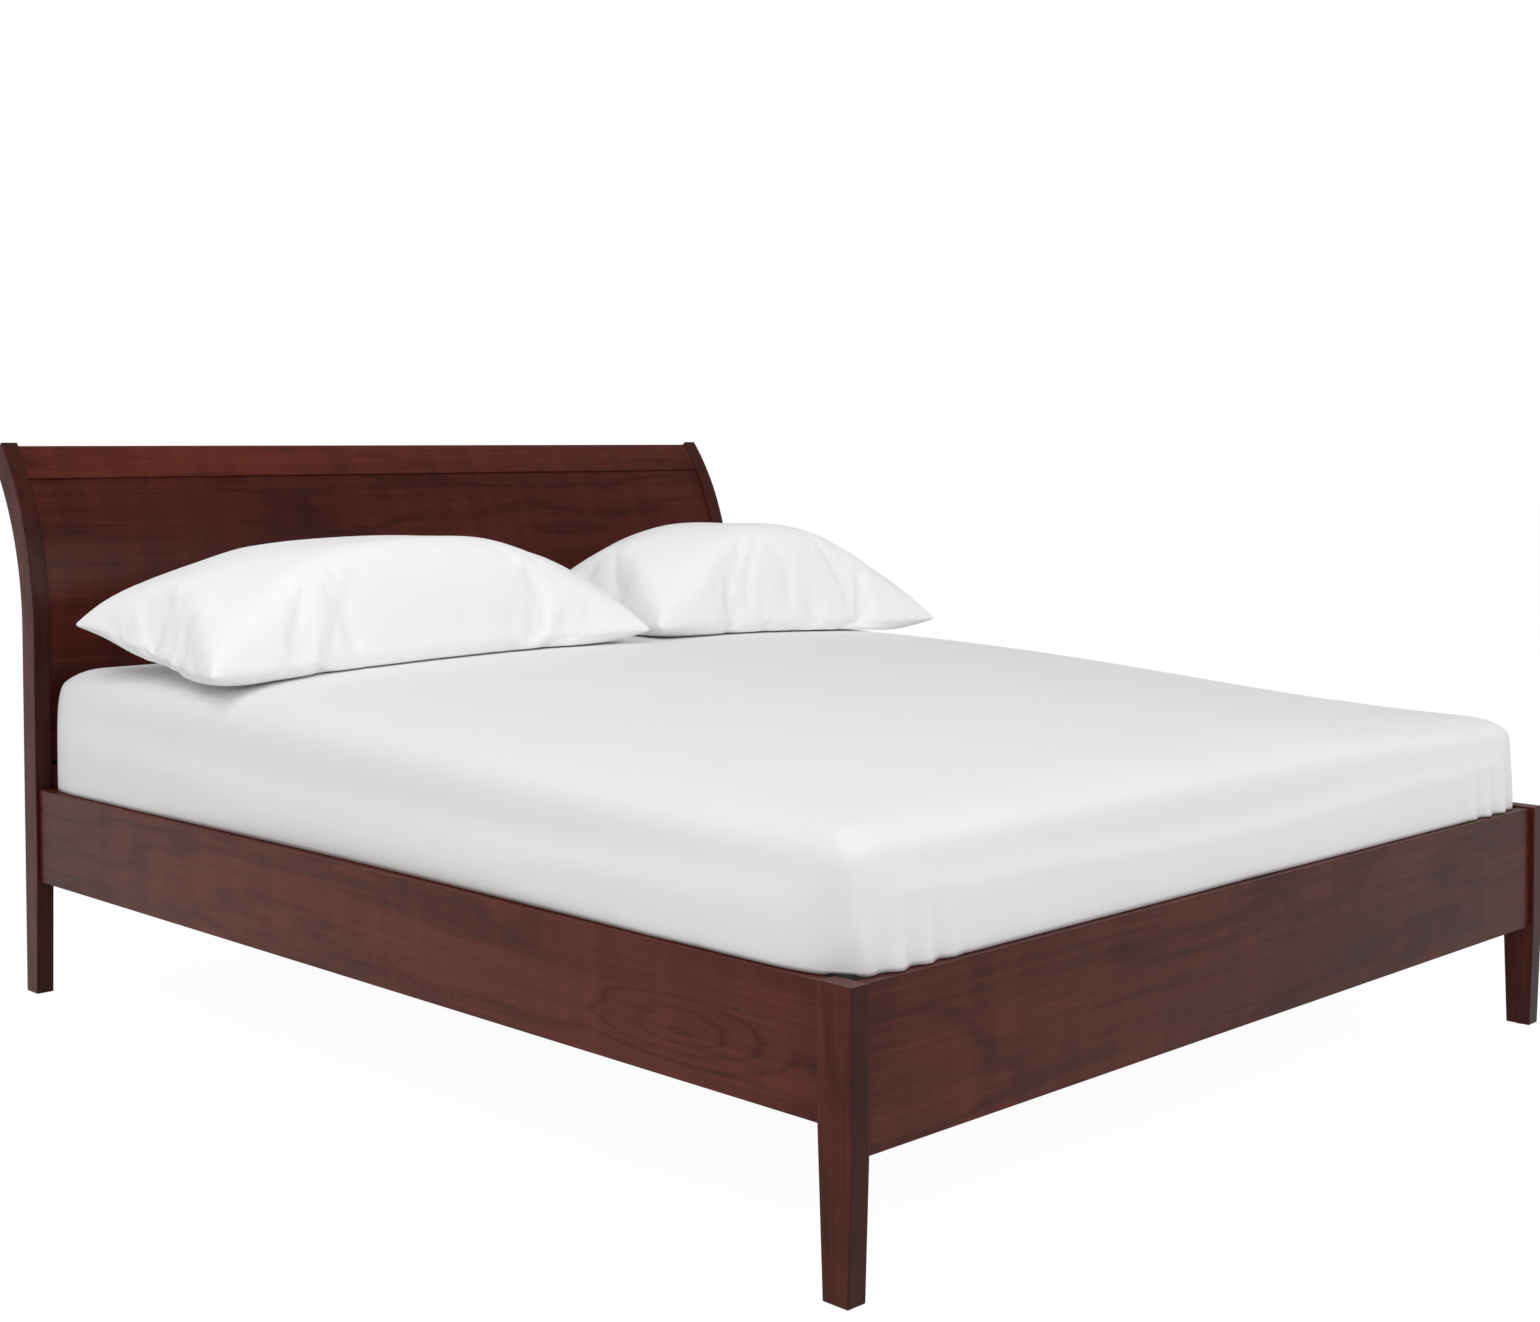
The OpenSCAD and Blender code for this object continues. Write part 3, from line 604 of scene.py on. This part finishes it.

# %% [markdown]
# ## Pillows
# A pillow is a flat bag of two equal cloths, filled until it is round in the middle. The seams pull inwards
# between the corners, which stay behind as small ears. The bag is made flat and then inflated. On the bed the
# filling settles: the underside goes flat and the seam lies low, so the lower half is pressed down after the
# simulation. Each case is open at its outer end, where its two layers stand apart, but that opening is not
# modelled.


# %% Pillow maker
def pillow(name, node, x0, x1, y0, y1, thickness, open_side, turn, lifts):
    """A bed pillow in its case between those limits. open_side is -1 or 1, the end where the case is open; it is not
    used.
    lifts raise corners off the mattress: each is (x, y, reach, height)."""
    length, depth = x1 - x0, y1 - y0
    cell = 0.0105
    bm = bmesh.new()
    made = bmesh.ops.create_grid(
        bm, x_segments=round(length * 1.07 / cell), y_segments=round(depth * 1.10 / cell), size=0.5
    )
    bmesh.ops.scale(bm, vec=(length * 1.07, depth * 1.10, 1), verts=made["verts"])
    made = bmesh.ops.extrude_face_region(bm, geom=bm.faces[:])["geom"]
    bmesh.ops.translate(bm, vec=(0, 0, 0.008), verts=[v for v in made if isinstance(v, bmesh.types.BMVert)])
    bmesh.ops.recalc_face_normals(bm, faces=bm.faces)
    mesh = bpy.data.meshes.new(name + "_bag")
    bm.to_mesh(mesh)
    bm.free()
    mesh = inflate(mesh, 2.2, 22, 0.14, bending=0.6)
    # Scale to the place, press the underside down and raise the corners.
    xs, ys, zs = ([v.co[i] for v in mesh.vertices] for i in range(3))
    centre_z = 0.004
    sx, sy = length / (max(xs) - min(xs)), depth / (max(ys) - min(ys))
    up = thickness / (max(zs) - centre_z)
    print(name, "inflated height", round(max(zs) - min(zs), 3))
    for v in mesh.vertices:
        x = (x0 + x1) / 2 + (v.co.x - (min(xs) + max(xs)) / 2) * sx
        y = (y0 + y1) / 2 + (v.co.y - (min(ys) + max(ys)) / 2) * sy
        u = (x - (x0 + x1) / 2) / (length / 2)
        y += turn * u
        rest = mattress_crown(max(-0.74, min(0.74, x)), y) + 0.003
        z = v.co.z - centre_z
        seam = 0.022
        lift = sum(h * math.exp(-(((x - a) / r) ** 2 + ((y - b) / r) ** 2)) for a, b, r, h in lifts)
        fullness = up * (1 - 0.30 * abs(u) ** 2.2)
        z = seam + (z * fullness if z > 0 else max(z * 0.5, -seam))
        v.co = (x, y, rest + z + lift)
    mesh = subdivided(mesh)
    bm = bmesh.new()
    bm.from_mesh(mesh)
    piece = finish_piece(bm, name, case_cotton, node, [node], False)
    return piece


pillow("pillow_left_case", "pillow_left", -0.832, 0.084, 0.330, 0.800, 0.190, -1, 0.0, [(-0.83, 0.80, 0.20, 0.06)])
pillow("pillow_right_case", "pillow_right", 0.112, 0.832, 0.310, 0.790, 0.195, 1, -0.028, [(0.83, 0.80, 0.16, 0.03)])

# %% [markdown]
# ## Studio
# The bed stands on a plain white floor in soft light from all around, with one broad lamp high on the left and
# a weaker one in front. The floor is nearly as bright as the backdrop to the camera and still takes the
# bed's shadow, because a part of what the camera sees there is lit paint.

# %% Floor, backdrop and lamps
bm = bmesh.new()
bmesh.ops.create_grid(bm, x_segments=1, y_segments=1, size=30.0)
floor_mesh = bpy.data.meshes.new("floor")
bm.to_mesh(floor_mesh)
bm.free()
floor = bpy.data.objects.new("floor", floor_mesh)
scene.collection.objects.link(floor)

paint, tree, shader = new_material("white_studio_floor")
shader.inputs["Base Color"].default_value = linear("#e6e6e6")
shader.inputs["Roughness"].default_value = 0.9
ray = add_node(tree, "ShaderNodeLightPath").outputs
seen = add_node(tree, "ShaderNodeMath", {"operation": "MAXIMUM"}, _0=ray["Is Camera Ray"], _1=ray["Is Glossy Ray"])
seen = add_node(tree, "ShaderNodeMath", {"operation": "MAXIMUM"}, _0=seen.outputs[0], _1=ray["Is Transmission Ray"])
share = add_node(tree, "ShaderNodeMath", {"operation": "MULTIPLY"}, _0=seen.outputs[0], _1=0.9)
glow = add_node(tree, "ShaderNodeEmission", Color=(1, 1, 1, 1), Strength=1.06)
mixed = add_node(
    tree, "ShaderNodeMixShader", _0=share.outputs[0], _1=shader.outputs[0], _2=glow.outputs[0]
)
tree.links.new(mixed.outputs[0], tree.nodes["Material Output"].inputs["Surface"])
floor_mesh.materials.append(paint)

world = bpy.data.worlds.new("studio")
scene.world = world
world.use_nodes = True
tree = world.node_tree
back = tree.nodes["Background"]
back.inputs["Color"].default_value = (1, 1, 1, 1)
ray = add_node(tree, "ShaderNodeLightPath").outputs
seen = add_node(tree, "ShaderNodeMath", {"operation": "MAXIMUM"}, _0=ray["Is Camera Ray"], _1=ray["Is Transmission Ray"])
level = add_node(tree, "ShaderNodeMapRange", _0=seen.outputs[0], _3=0.50, _4=1.0)
tree.links.new(level.outputs[0], back.inputs["Strength"])


def softbox(name, place, aim, size, watts):
    """A square area lamp that points at a place."""
    light = bpy.data.lights.new(name, "AREA")
    light.shape, light.size, light.energy = "SQUARE", size, watts
    lamp = bpy.data.objects.new(name, light)
    lamp.location = place
    lamp.rotation_euler = (Vector(aim) - Vector(place)).to_track_quat("-Z", "Y").to_euler()
    scene.collection.objects.link(lamp)


softbox("key_softbox", (-3.2, -1.0, 4.2), (0, 0, 0.4), 3.0, 95)
softbox("front_softbox", (0.8, -5.0, 2.8), (0, 0, 0.5), 2.5, 68)

# %% [markdown]
# ## Camera
# A 50 mm lens stands low beyond the left foot post and looks along the bed to the headboard.

# %% Camera
camera_data = bpy.data.cameras.new("camera")
camera_data.sensor_width = 36
camera_data.lens = 50.04
camera_data.shift_x, camera_data.shift_y = -0.05868, -0.09495
camera_data.clip_end = 100
camera = bpy.data.objects.new("camera", camera_data)
YAW, PITCH, ROLL = 0.8041, 0.0335, -0.0015
turn = Matrix.Rotation(-YAW, 4, "Z") @ Matrix.Rotation(math.pi / 2 - PITCH, 4, "X") @ Matrix.Rotation(ROLL, 4, "Z")
camera.matrix_world = Matrix.Translation((-2.55798, -2.76414, 0.98771)) @ turn
scene.collection.objects.link(camera)
scene.camera = camera
scene.view_settings.view_transform = "Standard"
